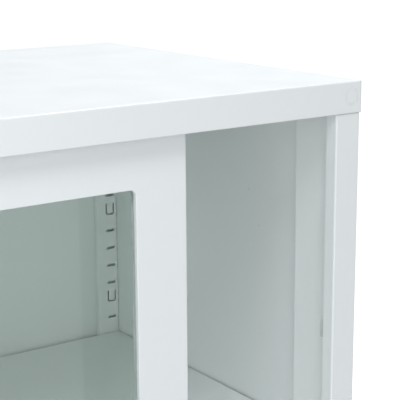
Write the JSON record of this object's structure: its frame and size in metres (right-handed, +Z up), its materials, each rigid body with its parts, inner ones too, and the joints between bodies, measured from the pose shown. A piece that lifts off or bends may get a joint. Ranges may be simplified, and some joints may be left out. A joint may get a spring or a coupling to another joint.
{
  "type": "sliding door cabinet",
  "caption": "White steel cabinet with sliding framed glass doors on a track, recessed pulls, a push lock, and adjustable shelves clipped to slotted corner posts.",
  "frame": {"origin": "centre of the cabinet's footprint, on the floor", "axes": "+Z up, -Y towards the front where the doors are, +X to the right seen from the front"},
  "size_m": [0.9, 0.4, 1.05],
  "materials": {
    "body_paint": "white powder coat, satin, fine orange peel",
    "door_paint": "white powder coat, satin, fine orange peel",
    "door_glass": "clear float glass with a faint grey-green tint",
    "gasket_rubber": "matte pale grey",
    "buffer_rubber": "matte off-white",
    "track_metal": "extruded, satin anodised",
    "zinc_steel": "bright zinc plate",
    "nylon": "natural nylon",
    "pull_plastic": "fine-textured grey plastic",
    "lock_chrome": "polished",
    "lock_brass": "satin",
    "pad_plastic": "black moulded plastic"
  },
  "bodies": {
    "cabinet": {"top_panel": "body_paint", "left_side_panel": "body_paint", "right_side_panel": "body_paint", "back_panel": "body_paint", "bottom_panel": "body_paint", "left_front_post": "body_paint", "right_front_post": "body_paint", "left_rear_post": "body_paint", "right_rear_post": "body_paint", "top_brackets": "zinc_steel", "top_panel_screws": "zinc_steel", "top_track": "body_paint", "bottom_track": "track_metal", "track_screws": "zinc_steel", "door_buffers": "buffer_rubber", "upper_shelf_clips": "zinc_steel", "lower_shelf_clips": "zinc_steel", "foot_brackets": "body_paint", "foot_stems": "zinc_steel", "foot_nuts": "zinc_steel", "foot_pads": "pad_plastic"},
    "right_door": {"right_door_frame": "door_paint", "right_door_inner_frame": "door_paint", "right_door_glass": "door_glass", "right_door_gasket": "gasket_rubber", "right_door_pull": "pull_plastic", "right_door_top_guides": "nylon", "right_door_screws": "zinc_steel", "right_door_roller_housings": "zinc_steel", "right_door_roller_axles": "zinc_steel", "lock_housing": "lock_chrome"},
    "left_door": {"left_door_frame": "door_paint", "left_door_inner_frame": "door_paint", "left_door_glass": "door_glass", "left_door_gasket": "gasket_rubber", "left_door_pull": "pull_plastic", "left_door_top_guides": "nylon", "left_door_screws": "zinc_steel", "left_door_roller_housings": "zinc_steel", "left_door_roller_axles": "zinc_steel", "lock_strike": "zinc_steel"},
    "lock_barrel": {"lock_barrel": "lock_chrome"},
    "lock_plug": {"lock_plug": "lock_brass"},
    "upper_shelf": {"upper_shelf": "body_paint", "upper_shelf_rib": "body_paint"},
    "lower_shelf": {"lower_shelf": "body_paint", "lower_shelf_rib": "body_paint"},
    "left_door_left_roller": {"left_door_left_roller": "nylon"},
    "left_door_right_roller": {"left_door_right_roller": "nylon"},
    "right_door_left_roller": {"right_door_left_roller": "nylon"},
    "right_door_right_roller": {"right_door_right_roller": "nylon"}
  },
  "joints": [
    {"name": "right_door_slide", "type": "slide", "parent": "cabinet", "child": "right_door", "axis": [-1, 0, 0], "range_m": [-0.145, 0.264]},
    {"name": "left_door_slide", "type": "slide", "parent": "cabinet", "child": "left_door", "axis": [1, 0, 0], "range_m": [0, 0.409]},
    {"name": "right_door_left_roller_turn", "type": "hinge", "parent": "right_door", "child": "right_door_left_roller", "pos_m": [-0.12047, -0.1742, 0.0856], "axis": [0, 1, 0], "continuous": true},
    {"name": "right_door_right_roller_turn", "type": "hinge", "parent": "right_door", "child": "right_door_right_roller", "pos_m": [0.23952, -0.1742, 0.0856], "axis": [0, 1, 0], "continuous": true},
    {"name": "left_door_left_roller_turn", "type": "hinge", "parent": "left_door", "child": "left_door_left_roller", "pos_m": [-0.38453, -0.1502, 0.0856], "axis": [0, 1, 0], "continuous": true},
    {"name": "left_door_right_roller_turn", "type": "hinge", "parent": "left_door", "child": "left_door_right_roller", "pos_m": [-0.02453, -0.1502, 0.0856], "axis": [0, 1, 0], "continuous": true},
    {"name": "lock_push", "type": "slide", "parent": "right_door", "child": "lock_barrel", "axis": [0, 1, 0], "range_m": [0, 0.008]},
    {"name": "lock_key_turn", "type": "hinge", "parent": "lock_barrel", "child": "lock_plug", "pos_m": [-0.145, -0.1942, 0.525], "axis": [0, -1, 0], "range_deg": [0, 90]},
    {"name": "upper_shelf_lift", "type": "slide", "parent": "cabinet", "child": "upper_shelf", "axis": [0, 0, 1], "range_m": [0, 0.06]},
    {"name": "lower_shelf_lift", "type": "slide", "parent": "cabinet", "child": "lower_shelf", "axis": [0, 0, 1], "range_m": [0, 0.06]}
  ],
  "couplings": [
    {"joint": "right_door_left_roller_turn", "follows": "right_door_slide", "rad_per_m": -125},
    {"joint": "right_door_right_roller_turn", "follows": "right_door_slide", "rad_per_m": -125},
    {"joint": "left_door_left_roller_turn", "follows": "left_door_slide", "rad_per_m": 125},
    {"joint": "left_door_right_roller_turn", "follows": "left_door_slide", "rad_per_m": 125}
  ]
}
